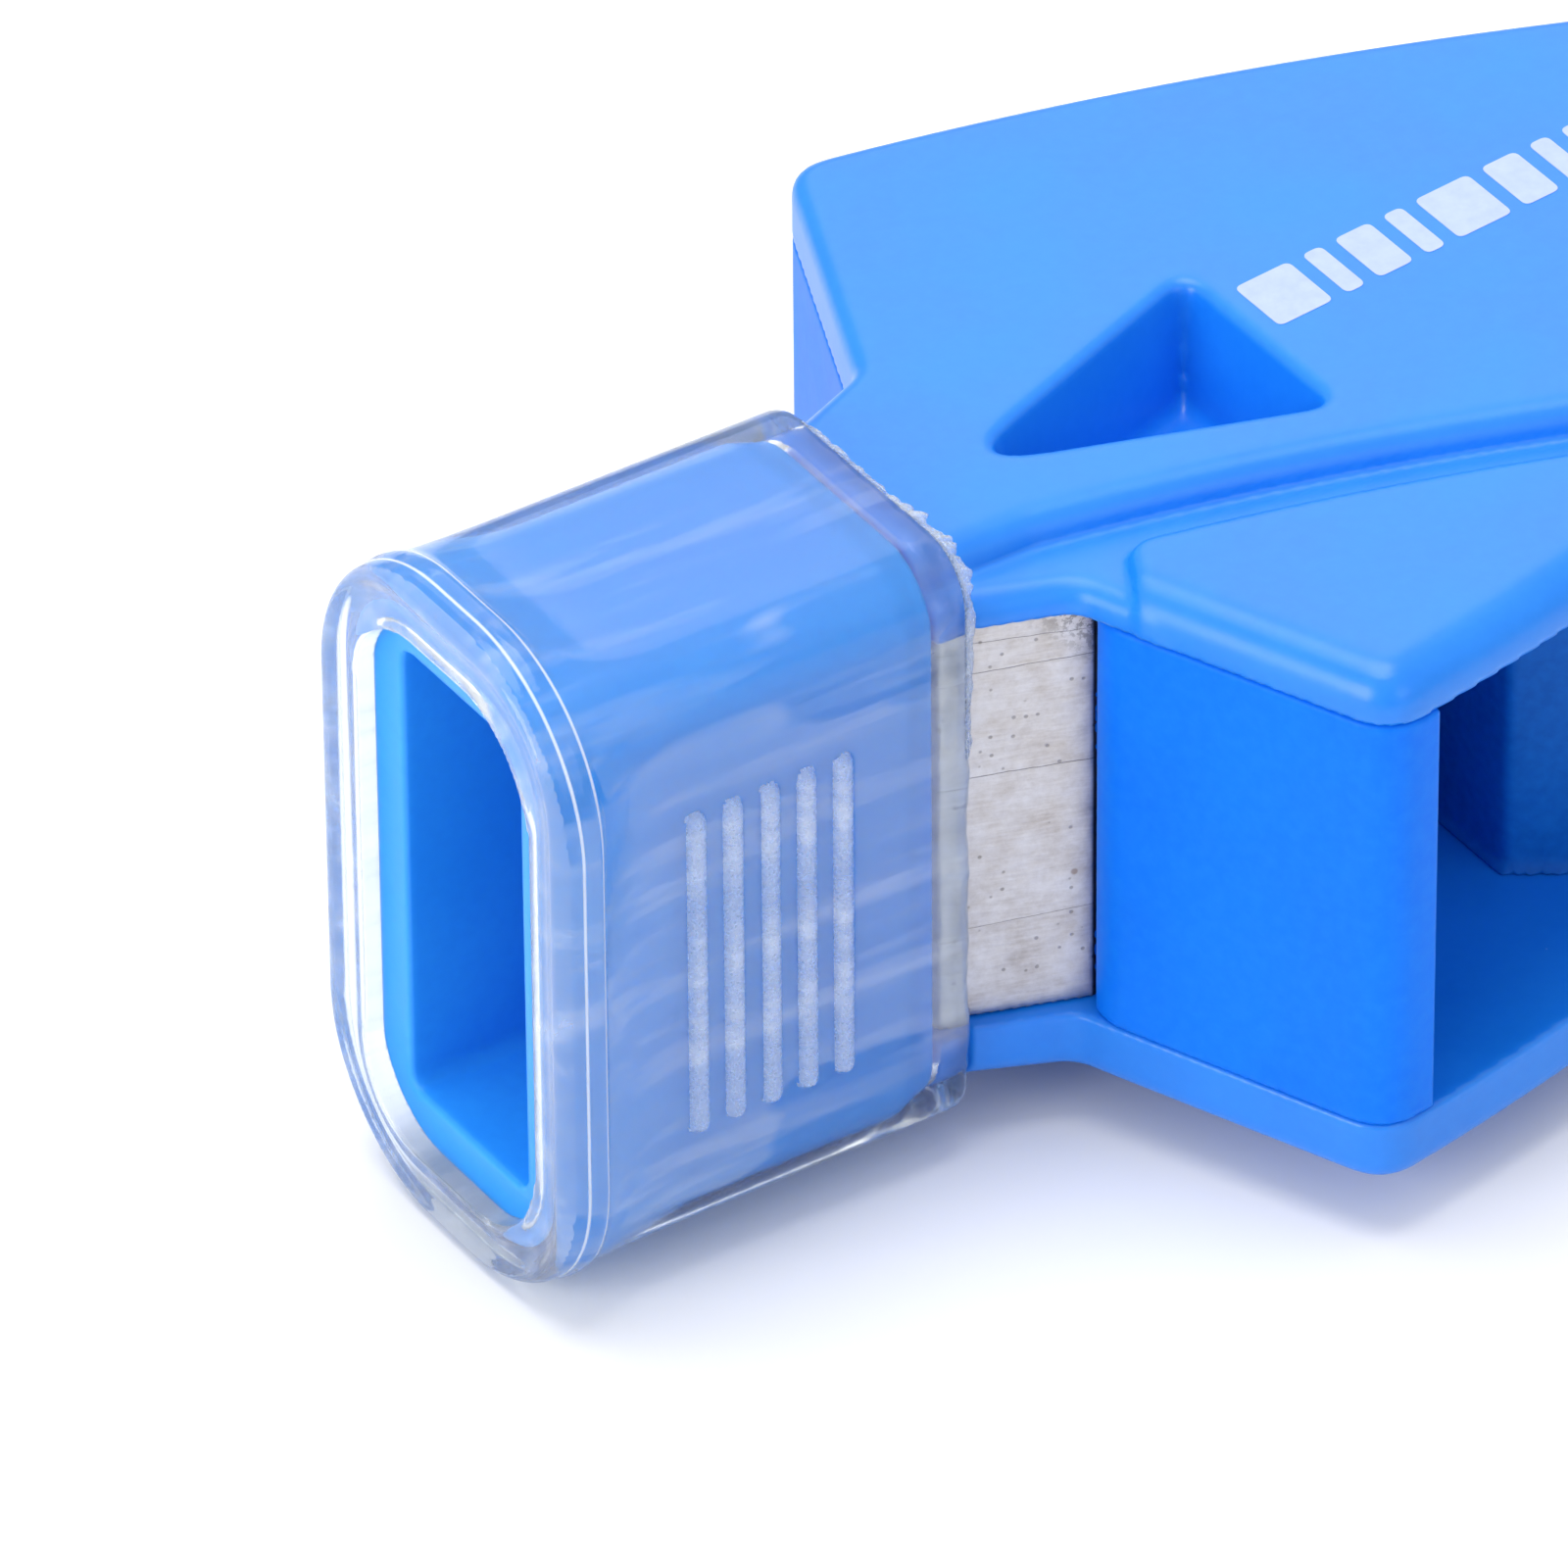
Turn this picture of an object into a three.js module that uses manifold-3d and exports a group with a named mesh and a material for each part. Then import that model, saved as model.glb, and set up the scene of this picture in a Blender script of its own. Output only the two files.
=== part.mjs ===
// Two-horn safety whistle with a pull-off silicone mouth grip. Millimetres, +Z up.
// The whistle lies along X: mouth at -X, tail at +X, one horn to each side (+Y and -Y).
// Turned half a turn about its long axis the whistle looks the same, so each side piece and
// each shell is drawn once and turned over for its twin.
import * as THREE from "three";
import { mergeVertices } from "three/addons/utils/BufferGeometryUtils.js";
import Module from "manifold-3d";

// Heights above the middle plane.
const SEAM_Z = 6.9; // inner face of the shell plates
const LEDGE_Z = 7.9; // lowest outer level of a shell, round the neck
const PAD_Z = 8.45; // wing pad beside the raised part
const RAISED_Z = 8.85; // raised middle and far wing
const JOINT_GAP = 0.05; // between pieces that are glued face to face

// Plan of the body.
const HORN_HALF_WIDTH = 15;
const HORN_CORNER_RADIUS = 1.6;
const NECK_ROOT = { x: -4.0, y: 5.45 }; // where the neck meets a horn's front face
const NECK_ROOT_RADIUS = 1.1;
const NECK_START_X = -8;
const NECK_SLOPE = 0.342; // widening of the neck per millimetre of length
const SIDE_SLOPE = 0.162; // the sides draw in towards the tail by these two rates
const SIDE_CURVE = 0.0053;
const SIDE_START_X = 2.5;
const SIDE_END_X = 28;
const TAIL = { x: 32, y: 2.7, r: 2.2 };
const LANYARD = { x: 28.2, radius: 1.7 };

// Raised part's near edge, and the groove between it and the wing pad.
const STEP_Y = 3.35;
const STEP_START_X = -4;
const STEP_SLOPE = 0.17;
const STEP_CURVE = 0.0062;
const GROOVE_WIDTH = 1.3;
const PAD_FRONT = [
  [0.5, 0],
  [-3.5, -8],
]; // line of the pad's front end

// Splitter wedge with its triangular pocket.
const WEDGE_NOSE = { x: -4.6, r: 0.4 };
const WEDGE_BASE = { x: 7.4, y: 5.9, r: 0.8 };
const POCKET_CORNERS = [
  [-4.2, 0.1, 1.0],
  [6.25, -3.45, 0.7],
  [6.25, 4.1, 0.7],
]; // x, y, corner radius
const POCKET_MIDDLE = { x: 2.8, y: 0.3 }; // the pocket narrows towards this point
const POCKET_DEPTH = 3.7;
const POCKET_FLOOR_SCALE = 0.72;
const WEB_HALF = 0.8;

// Mouthpiece and grip sections: half width, half height, corner radius.
const TUBE = { y: 4.5, z: 9.2, r: 1.9, front: -20.7, rear: -8.1 };
const DUCT = { y: 2.95, z: 7.6, r: 1.0 };
const GRIP_BORE = { y: 4.57, z: 9.27, r: 1.97 };
const NECK_SECTION = { y: 4.12, z: 8.85, r: 1.6 };
const GRIP = { y: 5.1, z: 9.85, r: 1.8, front: -21.5, rear: -7.1 };
const LIP = { y: 4.35, z: 8.98, r: 2.4 };
const FLANGE = { y: 6.3, z: 10.9, r: 4.0, thick: 1.5 };
const FLARE = { reach: 2.0, share: 0.55, steps: 5 }; // from the flange down to the sleeve
const UNDER_GRIP_END_X = GRIP.rear + 0.3; // the shells keep the neck's section up to here
const RIB = { first: -16.4, pitch: 1.21, count: 5, low: -5.9, high: 5.1, half: 0.27, rise: 0.4 };

// Side plates, horn walls and the rear core.
const PLATE = { front: -7.65, rear: -3.05, thick: 0.5, recess: 0.55 };
const WALL_END_X = 1.85;
const WALL_ROOT = [
  [-2.85, -5.25],
  [-3.45, -5.7, 0.15],
  [-3.62, -6.36, 0.2],
]; // x, y, corner radius of the horn wall beside the steel plate
const WALL_INNER_CORNER = [1.2, -12.6, 0.6];
const WALL_LIP = { x: 0.1, y: 1.2 }; // from the wall's outer end to its inner end
const CORE = { front: 9.8, y: 6.9, r: 0.3, flareX: 16, inset: 0.25 };

const PAST = 1; // how far a cutter reaches past what it cuts
const SINK = 0.1; // how far joined solids reach into each other
const WIDE = 20; // clear of the whole part

const wasm = await Module();
wasm.setup();

function toSolid(geometry) {
  const bare = new THREE.BufferGeometry();
  const source = geometry.index ? geometry.toNonIndexed() : geometry;
  bare.setAttribute("position", source.getAttribute("position"));
  const merged = mergeVertices(bare, 1e-4);
  const mesh = new wasm.Mesh({
    numProp: 3,
    vertProperties: merged.attributes.position.array,
    triVerts: new Uint32Array(merged.index.array),
  });
  return new wasm.Manifold(mesh);
}

function toGeometry(solid) {
  const mesh = solid.getMesh();
  const geometry = new THREE.BufferGeometry();
  geometry.setAttribute("position", new THREE.BufferAttribute(mesh.vertProperties, 3));
  geometry.setIndex(new THREE.BufferAttribute(mesh.triVerts, 1));
  return geometry;
}

const add = (...solids) => solids.reduce((a, b) => a.add(b));
const cut = (solid, ...tools) => tools.reduce((a, b) => a.subtract(b), solid);
const common = (...solids) => solids.reduce((a, b) => a.intersect(b));
const turnOver = (solid) => solid.rotate([180, 0, 0]);

// A plan shape carried up from z0 to z1.
function slab(shape, z0, z1, curveSegments = 8) {
  const geometry = new THREE.ExtrudeGeometry(shape, {
    depth: z1 - z0,
    bevelEnabled: false,
    curveSegments,
  });
  return toSolid(geometry.translate(0, 0, z0));
}

// A cross-section in (y, z) carried from x0 to x1.
function alongX(shape, x0, x1, curveSegments = 8) {
  const geometry = new THREE.ExtrudeGeometry(shape, {
    depth: x1 - x0,
    bevelEnabled: false,
    curveSegments,
  });
  const turn = new THREE.Matrix4().makeBasis(
    new THREE.Vector3(0, 1, 0),
    new THREE.Vector3(0, 0, 1),
    new THREE.Vector3(1, 0, 0),
  );
  return toSolid(geometry.applyMatrix4(turn).translate(x0, 0, 0));
}

function roundedRect({ y, z, r }) {
  const shape = new THREE.Shape();
  shape.absarc(y - r, z - r, r, 0, Math.PI / 2);
  shape.absarc(r - y, z - r, r, Math.PI / 2, Math.PI);
  shape.absarc(r - y, r - z, r, Math.PI, 1.5 * Math.PI);
  shape.absarc(y - r, r - z, r, 1.5 * Math.PI, 2 * Math.PI);
  return shape;
}

// The section a given share of the way from one rounded rectangle to another.
function between(a, b, share) {
  const mix = (key) => a[key] + (b[key] - a[key]) * share;
  return { y: mix("y"), z: mix("z"), r: mix("r") };
}

function polygon(points) {
  return new THREE.Shape(points.map(([x, y]) => new THREE.Vector2(x, y)));
}

// A closed polygon whose corners are rounded where a radius is given: [x, y, radius].
function roundedPolygon(points) {
  const shape = new THREE.Shape();
  points.forEach(([x, y, radius = 0], i) => {
    const corner = new THREE.Vector2(x, y);
    const before = new THREE.Vector2(...points.at(i - 1).slice(0, 2));
    const after = new THREE.Vector2(...points[(i + 1) % points.length].slice(0, 2));
    const toBefore = before.sub(corner).normalize();
    const toAfter = after.sub(corner).normalize();
    const half = Math.acos(THREE.MathUtils.clamp(toBefore.dot(toAfter), -1, 1)) / 2;
    const reach = radius / Math.tan(half);
    const start = corner.clone().addScaledVector(toBefore, reach);
    const end = corner.clone().addScaledVector(toAfter, reach);
    if (i === 0) shape.moveTo(start.x, start.y);
    else shape.lineTo(start.x, start.y);
    if (radius > 0) shape.quadraticCurveTo(x, y, end.x, end.y);
  });
  shape.closePath();
  return shape;
}

const sideY = (x) => HORN_HALF_WIDTH - SIDE_SLOPE * x - SIDE_CURVE * x * x;
const neckY = (x) => NECK_ROOT.y + NECK_SLOPE * (x - NECK_ROOT.x);

// The raised part's near edge, as a distance towards -Y.
function stepY(x) {
  const past = Math.max(0, x - STEP_START_X);
  return STEP_Y + STEP_SLOPE * past + STEP_CURVE * past * past;
}

function range(from, to, count) {
  return Array.from({ length: count }, (_, i) => from + ((to - from) * i) / (count - 1));
}

// One half of the plan from the neck to the tail; the other half mirrors it.
function planHalf() {
  const side = range(SIDE_START_X, SIDE_END_X, 12).map((x) => [x, sideY(x)]);
  return [
    [NECK_START_X, neckY(NECK_START_X)],
    [NECK_ROOT.x, NECK_ROOT.y, NECK_ROOT_RADIUS],
    [0, HORN_HALF_WIDTH, HORN_CORNER_RADIUS],
    ...side,
    [TAIL.x, TAIL.y, TAIL.r],
  ];
}

function withMirror(half) {
  const mirrored = half.map(([x, y, radius]) => [x, -y, radius]);
  return [...mirrored, ...half.reverse()];
}

function planShape() {
  return roundedPolygon(withMirror(planHalf()));
}

// Everything on the +Y side of the step line, shifted by offset towards -Y.
function beyondStep(offset) {
  const line = range(NECK_START_X - PAST, TAIL.x + PAST, 28).map((x) => [x, -stepY(x) - offset]);
  return polygon([...line, [TAIL.x + PAST, WIDE], [NECK_START_X - PAST, WIDE]]);
}

// The pocket narrows towards its floor.
function pocketCutter() {
  const top = RAISED_Z + SINK;
  const floor = RAISED_Z - POCKET_DEPTH;
  const geometry = new THREE.ExtrudeGeometry(roundedPolygon(POCKET_CORNERS), {
    depth: top - floor,
    bevelEnabled: false,
    curveSegments: 4,
  });
  const middle = POCKET_MIDDLE;
  const position = geometry.attributes.position;
  for (let i = 0; i < position.count; i++) {
    const share = position.getZ(i) / (top - floor);
    const scale = POCKET_FLOOR_SCALE + (1 - POCKET_FLOOR_SCALE) * share;
    position.setX(i, middle.x + (position.getX(i) - middle.x) * scale);
    position.setY(i, middle.y + (position.getY(i) - middle.y) * scale);
    position.setZ(i, floor + position.getZ(i));
  }
  return toSolid(geometry);
}

const lanyardCutter = () => {
  const hole = new THREE.Shape().absarc(LANYARD.x, 0, LANYARD.radius, 0, 2 * Math.PI);
  return slab(hole, -RAISED_Z - PAST, RAISED_Z + PAST, 12);
};

// Top shell: stepped plate, with half of the splitter wedge hanging from it.
function shell() {
  const plan = planShape();
  const plate = slab(plan, SEAM_Z, LEDGE_Z);
  const raised = common(slab(plan, SEAM_Z, RAISED_Z), slab(beyondStep(0), 0, WIDE));
  const frontEnd = PAD_FRONT.at(-1)[0];
  const nearSide = [...PAD_FRONT, [frontEnd, -WIDE], [TAIL.x, -WIDE], [TAIL.x, 0]];
  const padZone = cut(
    slab(polygon(nearSide), 0, WIDE),
    slab(beyondStep(GROOVE_WIDTH), -PAST, WIDE + PAST),
  );
  const pad = common(slab(plan, SEAM_Z, PAD_Z), padZone);
  const wedge = slab(
    roundedPolygon([
      [WEDGE_NOSE.x, 0, WEDGE_NOSE.r],
      [WEDGE_BASE.x, -WEDGE_BASE.y, WEDGE_BASE.r],
      [WEDGE_BASE.x, WEDGE_BASE.y, WEDGE_BASE.r],
    ]),
    JOINT_GAP / 2,
    SEAM_Z + SINK,
  );
  const webBox = polygon([
    [WEDGE_BASE.x - PAST, -WEB_HALF],
    [CORE.front - JOINT_GAP, -WEB_HALF],
    [CORE.front - JOINT_GAP, WEB_HALF],
    [WEDGE_BASE.x - PAST, WEB_HALF],
  ]);
  const web = slab(webBox, JOINT_GAP / 2, SEAM_Z + SINK);
  const underGrip = alongX(roundedRect(NECK_SECTION), NECK_START_X - PAST, UNDER_GRIP_END_X);
  const free = alongX(roundedRect({ y: WIDE, z: WIDE, r: 1 }), UNDER_GRIP_END_X, TAIL.x + PAST);
  const whole = add(plate, raised, pad, wedge, web);
  return cut(common(whole, add(underGrip, free)), pocketCutter(), lanyardCutter());
}

function mouthpieceTube() {
  const outside = alongX(roundedRect(TUBE), TUBE.front, TUBE.rear);
  const duct = alongX(roundedRect(DUCT), TUBE.front - PAST, TUBE.rear + PAST);
  return cut(outside, duct);
}

// Steel side plate on the -Y side, closing the neck between the shells.
function steelPlate() {
  const outer = (x) => -(neckY(x) - PLATE.recess);
  const inner = (x) => outer(x) + PLATE.thick;
  const plan = polygon([
    [PLATE.front, outer(PLATE.front)],
    [PLATE.rear, outer(PLATE.rear)],
    [PLATE.rear, inner(PLATE.rear)],
    [PLATE.front, inner(PLATE.front)],
  ]);
  return slab(plan, -SEAM_Z + JOINT_GAP, SEAM_Z - JOINT_GAP);
}

// Front wall of the -Y horn, from the steel plate round the outer corner.
function hornWall() {
  const endY = -sideY(WALL_END_X);
  const plan = roundedPolygon([
    ...WALL_ROOT,
    [0, -HORN_HALF_WIDTH, HORN_CORNER_RADIUS],
    [WALL_END_X, endY],
    [WALL_END_X - WALL_LIP.x, endY + WALL_LIP.y],
    WALL_INNER_CORNER,
  ]);
  return slab(plan, -SEAM_Z + JOINT_GAP, SEAM_Z - JOINT_GAP);
}

// Rear core between the shells: back wall of both horn chambers, out to the tail.
function rearCore() {
  const flank = range(CORE.flareX, SIDE_END_X, 6).map((x) => [x, sideY(x) - CORE.inset]);
  const tail = [TAIL.x - CORE.inset, TAIL.y, TAIL.r];
  const plan = roundedPolygon(withMirror([[CORE.front, CORE.y, CORE.r], ...flank, tail]));
  const block = slab(plan, JOINT_GAP - SEAM_Z, SEAM_Z - JOINT_GAP);
  return cut(block, lanyardCutter());
}

// Silicone grip: sleeve, flared neck, two-step flange, lip in front of the tube, side ribs.
function mouthGrip() {
  const flangeRear = GRIP.front + FLANGE.thick;
  const sleeve = alongX(roundedRect(GRIP), flangeRear - SINK, GRIP.rear);
  const flange = alongX(roundedRect(FLANGE), GRIP.front, flangeRear);
  const stepLength = FLARE.reach / FLARE.steps;
  const collars = range(0, 1, FLARE.steps + 1).slice(0, -1).map((share, i) => {
    const section = between(GRIP, FLANGE, FLARE.share * (1 - share) ** 2);
    const start = flangeRear - SINK + i * stepLength;
    return alongX(roundedRect(section), start, start + SINK + stepLength);
  });
  const ribs = range(0, RIB.count - 1, RIB.count).map((i) => {
    const x = RIB.first + i * RIB.pitch;
    const bar = new THREE.Shape();
    bar.absarc(-GRIP.y, RIB.high - RIB.rise, RIB.rise, 0, Math.PI);
    bar.absarc(-GRIP.y, RIB.low + RIB.rise, RIB.rise, Math.PI, 2 * Math.PI);
    const near = alongX(bar, x - RIB.half, x + RIB.half, 4);
    return add(near, turnOver(near));
  });
  const bore = alongX(roundedRect(GRIP_BORE), TUBE.front - JOINT_GAP, GRIP.rear + PAST);
  const mouth = alongX(roundedRect(LIP), GRIP.front - PAST, TUBE.front);
  return cut(add(sleeve, flange, ...collars, ...ribs), bore, mouth);
}

const BLUE = { color: 0x1c82f5, roughness: 0.32, metalness: 0 };
const STEEL = { color: 0xc2bebb, roughness: 0.38, metalness: 1 };
const SILICONE = { color: 0xdde8f5, roughness: 0.3, metalness: 0 };

const whistle = new THREE.Group();

function place(name, solid, look) {
  const mesh = new THREE.Mesh(toGeometry(solid), new THREE.MeshStandardMaterial(look));
  mesh.name = name;
  whistle.add(mesh);
}

const topShell = shell();
const nearPlate = steelPlate();
const nearWall = hornWall();
place("top_shell", topShell, BLUE);
place("bottom_shell", turnOver(topShell), BLUE);
place("mouthpiece_tube", mouthpieceTube(), BLUE);
place("near_horn_wall", nearWall, BLUE);
place("far_horn_wall", turnOver(nearWall), BLUE);
place("rear_core", rearCore(), BLUE);
place("near_steel_plate", nearPlate, STEEL);
place("far_steel_plate", turnOver(nearPlate), STEEL);
place("mouth_grip", mouthGrip(), SILICONE);

// The origin is under the middle of the box, at the height of the lowest point.
const length = TAIL.x - GRIP.front;
whistle.position.set(-(GRIP.front + length / 2), 0, FLANGE.z);

export default whistle;
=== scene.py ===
import math

import bpy
import numpy as np
from mathutils import Matrix, Vector


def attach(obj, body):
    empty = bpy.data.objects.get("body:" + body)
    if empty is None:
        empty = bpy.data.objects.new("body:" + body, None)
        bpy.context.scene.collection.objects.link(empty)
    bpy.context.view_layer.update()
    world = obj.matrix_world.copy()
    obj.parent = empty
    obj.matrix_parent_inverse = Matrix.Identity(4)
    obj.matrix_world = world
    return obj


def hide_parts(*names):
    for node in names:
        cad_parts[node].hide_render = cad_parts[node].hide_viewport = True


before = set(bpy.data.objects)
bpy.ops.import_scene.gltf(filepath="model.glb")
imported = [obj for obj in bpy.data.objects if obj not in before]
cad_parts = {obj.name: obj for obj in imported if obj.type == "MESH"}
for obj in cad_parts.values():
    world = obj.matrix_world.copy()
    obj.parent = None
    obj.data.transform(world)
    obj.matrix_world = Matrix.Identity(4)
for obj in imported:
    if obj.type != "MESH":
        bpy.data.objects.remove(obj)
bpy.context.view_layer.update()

# Looks of the two-horn safety whistle with its pull-off silicone mouth grip.
#
# Shapes are drawn in the part's drawing frame in millimetres (x from mouth to tail, y to the far
# horn, z up, middle plane at z = 0) as distance fields, turned into meshes, and moved to the frame.

MM = 0.001
SHIFT = np.array([-5.25, 0.0, 10.9])  # drawing frame to part frame, mm
BODY, GRIP_BODY = "whistle_body", "mouth_grip"

# Heights above the middle plane, and the plan, close to the CAD part's.
SEAM_Z, LEDGE_Z, PAD_Z, RAISED_Z = 6.9, 7.9, 8.45, 8.85
JOINT_GAP = 0.05
HORN_HALF_WIDTH, HORN_CORNER_RADIUS = 15.0, 1.6
NECK_ROOT, NECK_ROOT_RADIUS, NECK_START_X, NECK_SLOPE = (-4.0, 5.45), 1.1, -8.0, 0.342
NECK_PAST = 2.5  # the plan runs on past the neck's flat end, so that no rounding shows there
SIDE_SLOPE, SIDE_CURVE, SIDE_START_X, SIDE_END_X = 0.162, 0.0053, 2.5, 28.0
TAIL = (32.0, 2.7, 4.6)
TAIL_SHOULDER_RADIUS, TAIL_SHOULDER_REACH = 4.0, 2.0
LANYARD_X, LANYARD_RADIUS = 28.2, 1.7

# The raised face, its step, and the pad beside it.
STEP_Y, STEP_START_X, STEP_SLOPE, STEP_CURVE, STEP_SLANT = 3.35, -4.0, 0.17, 0.0062, 0.97
GROOVE_WIDTH = 1.3
PAD_FRONT = ((0.5, 0.0), (-3.5, -8.0))
LEDGE_DROP, LEDGE_DROP_START, LEDGE_DROP_REACH = 0.7, 0.1, 0.9  # the ledge sinks under the pad
LEDGE_OVERLAP = 1.0  # how far the ledge runs in under the raised face
EDGE_BLEND = 5.0  # length over which the edge radii below change from the neck's to the body's
LEDGE_EDGE, RAISED_EDGE = (0.95, 0.75), (1.0, 0.5)
STEP_EDGE, PAD_EDGE, PAD_INNER_EDGE, PAD_CORNER = 0.9, 1.3, 0.4, 0.7
LEDGE_FILLET, PAD_FILLET, SEAM_EDGE = 0.14, 0.2, 0.04

# Inside the body, and the triangular recess on top.
WEDGE = [(-4.6, 0.0, 0.4), (7.4, -5.9, 0.8), (7.4, 5.9, 0.8)]
WEB_HALF, WEB_MIDDLE_X, WEB_HALF_LENGTH = 0.8, 8.1, 1.65
INNER_OVERLAP, INNER_FILLET = 0.3, 0.3
POCKET = [(-4.2, 0.1, 1.0), (6.25, -3.45, 0.7), (6.25, 4.1, 0.7)]
POCKET_DEPTH, POCKET_DRAFT, POCKET_FLOOR_FILLET, POCKET_EDGE = 3.7, 0.2, 0.45, 0.28
LANYARD_EDGE = 0.35

# Sections across the long axis: half width, half height, corner radius.
TUBE = (4.5, 9.2, 1.9)
DUCT = (2.95, 7.6, 0.45)
NECK_SECTION = (4.12, 8.85, 1.6)
GRIP = (5.1, 9.85, 1.8)
LIP = (4.35, 8.98, 3.1)
FLANGE = (6.3, 10.9, 5.3)
DISH = (4.95, 9.65, 3.1)

# The tube and the grip along the long axis.
TUBE_X = (-20.7, -8.1)
TUBE_TAPER, TUBE_END_EDGE = 1.2, 0.12
NECK_CUT_X = -6.8
GRIP_X = (-21.5, -7.1)
FLANGE_THICK, FLANGE_FRONT_EDGE, FLANGE_REAR_EDGE, FLANGE_FILLET = 1.5, 0.6, 0.25, 0.3
FLARE_START, FLARE_LENGTH, FLARE_SHARE, FLARE_POWER = 0.4, 4.0, 0.9, 2.3
GRIP_REAR_EDGE, GRIP_REAR_WANDER = 0.5, 0.10
DISH_CENTRE, DISH_RADIUS, DISH_EDGE = 0.75, 1.0, 0.12
LIP_DEPTH, LIP_EDGE, BORE_EDGE = 1, 0.15, 0.05
RIBS = dict(first=-16.4, pitch=1.21, count=5, low=-5.9, high=5.1, half=0.33)
RIB_FLATNESS, RIB_FILLET = 0.9, 0.07
RIM_HIGHLIGHT_LINES = (-20.75, -20.08)  # where the rim's two painted highlight lines run, along its two edges
WET_SINK = 0.04  # the stretched silicone clings to the tube, with no air between them

# Plates, horn walls and rear core.
PLATE_X, PLATE_THICK, PLATE_RECESS, PLATE_EDGE = (-7.65, -3.05), 0.5, 0.55, 0.05
PLATE_BOW, PLATE_RAGGED = 0.02, 0.025
WALL_ROOT = [(-2.85, -5.25), (-3.45, -5.7, 0.15), (-3.62, -6.36, 1.8)]
WALL_END_X, WALL_LIP, WALL_INNER = 1.85, (0.1, 1.2), (1.2, -12.6, 0.6)
WALL_SHRINK, WALL_EDGE = 0.01, 0.04
CORE_X, CORE_Y, CORE_CORNER, CORE_FLARE_X, CORE_INSET = 9.8, 6.9, 0.3, 16.0, 0.25
CORE_FILLET, CORE_FILLET_LEAST, CORE_FILLET_END, CORE_FILLET_FADE = 0.5, 0.001, 0.5, 3
CORE_GAP, CORE_EDGE = 0.02, 0.04
FLASH_THICKNESS = 0.00009  # metres, as modifiers take it

# Grid steps of the meshes in millimetres, and how much finer or coarser some pieces are.
FINE = 0.17
WALL_STEP, CORE_STEP, GRIP_STEP, PLATE_STEP = FINE * 0.8, FINE * 1.3, FINE * 0.85, 0.12


# ---------------------------------------------------------------- distance fields
def rmax(a, b, r):
    """Both solids, with the edge between them rounded to radius r."""
    corner = np.hypot(np.maximum(a + r, 0), np.maximum(b + r, 0))
    return np.minimum(np.maximum(a, b) + r, 0) + corner - r


def rmin(a, b, r):
    """Either solid, with a fillet of radius r in the corner between them."""
    return -rmax(-a, -b, r)


def rounded_rect(a, b, half_a, half_b, r):
    qa, qb = np.abs(a) - (half_a - r), np.abs(b) - (half_b - r)
    return np.hypot(np.maximum(qa, 0), np.maximum(qb, 0)) + np.minimum(np.maximum(qa, qb), 0) - r


def lerp(a, b, t):
    return a + (b - a) * t


def smooth(t):
    t = np.clip(t, 0, 1)
    return t * t * (3 - 2 * t)


def rounded_polygon(points, bits=7):
    """Points of a polygon whose corners, each (x, y) or (x, y, radius), are rounded."""
    out = []
    n = len(points)
    for i, p in enumerate(points):
        r = p[2] if len(p) > 2 else 0.0
        corner = np.array(p[:2], float)
        before = np.array(points[i - 1][:2], float) - corner
        after = np.array(points[(i + 1) % n][:2], float) - corner
        before /= np.linalg.norm(before)
        after /= np.linalg.norm(after)
        if r <= 0:
            out.append(corner)
            continue
        half = math.acos(float(np.clip(before @ after, -1, 1))) / 2
        reach = r / math.tan(half)
        a, b = corner + before * reach, corner + after * reach
        for t in np.linspace(0, 1, bits):
            out.append((1 - t) ** 2 * a + 2 * t * (1 - t) * corner + t * t * b)
    return np.array(out)


def polygon_field(points, x, y):
    """Signed distance in the plane to a closed polygon, negative inside."""
    far = 1e9
    best = np.full(np.broadcast(x, y).shape, far, np.float32)
    sign = np.ones_like(best)
    for i in range(len(points)):
        a, b = points[i], points[i - 1]
        ex, ey = b - a
        wx, wy = x - a[0], y - a[1]
        t = np.clip((wx * ex + wy * ey) / max(ex * ex + ey * ey, 1e-12), 0, 1)
        best = np.minimum(best, (wx - ex * t) ** 2 + (wy - ey * t) ** 2)
        up, down, left = y >= a[1], y < b[1], ex * wy > ey * wx
        sign = np.where((up & down & left) | (~up & ~down & ~left), -sign, sign)
    return sign * np.sqrt(best)


def prism_field(points, x, y):
    """Field of an endless upright prism with this plan, on the grid of surface()."""
    return polygon_field(points, x[:, :, 0], y[0, :, 0][None, :])[:, :, None]


def side_y(x):
    return HORN_HALF_WIDTH - SIDE_SLOPE * x - SIDE_CURVE * x * x


def neck_y(x):
    return NECK_ROOT[1] + NECK_SLOPE * (x - NECK_ROOT[0])


def step_y(x):
    past = np.maximum(0, x - STEP_START_X)
    return STEP_Y + STEP_SLOPE * past + STEP_CURVE * past * past


def with_mirror(half):
    return [(p[0], -p[1], *p[2:]) for p in half] + half[::-1]


def flank_points(first_x, count, inset=0.0):
    """Points along one outer flank, ending in its rounded shoulder near the tail."""
    along = np.linspace(first_x, SIDE_END_X - TAIL_SHOULDER_REACH, count)
    flank = [(v, side_y(v) - inset) for v in along]
    return [*flank, (SIDE_END_X, side_y(SIDE_END_X) - inset, TAIL_SHOULDER_RADIUS)]


def plan_points():
    start = NECK_START_X - NECK_PAST
    half = [
        (start, neck_y(start)),
        (*NECK_ROOT, NECK_ROOT_RADIUS),
        (0.0, HORN_HALF_WIDTH, HORN_CORNER_RADIUS),
        *flank_points(SIDE_START_X, 22),
        TAIL,
    ]
    return rounded_polygon(with_mirror(half))


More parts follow.
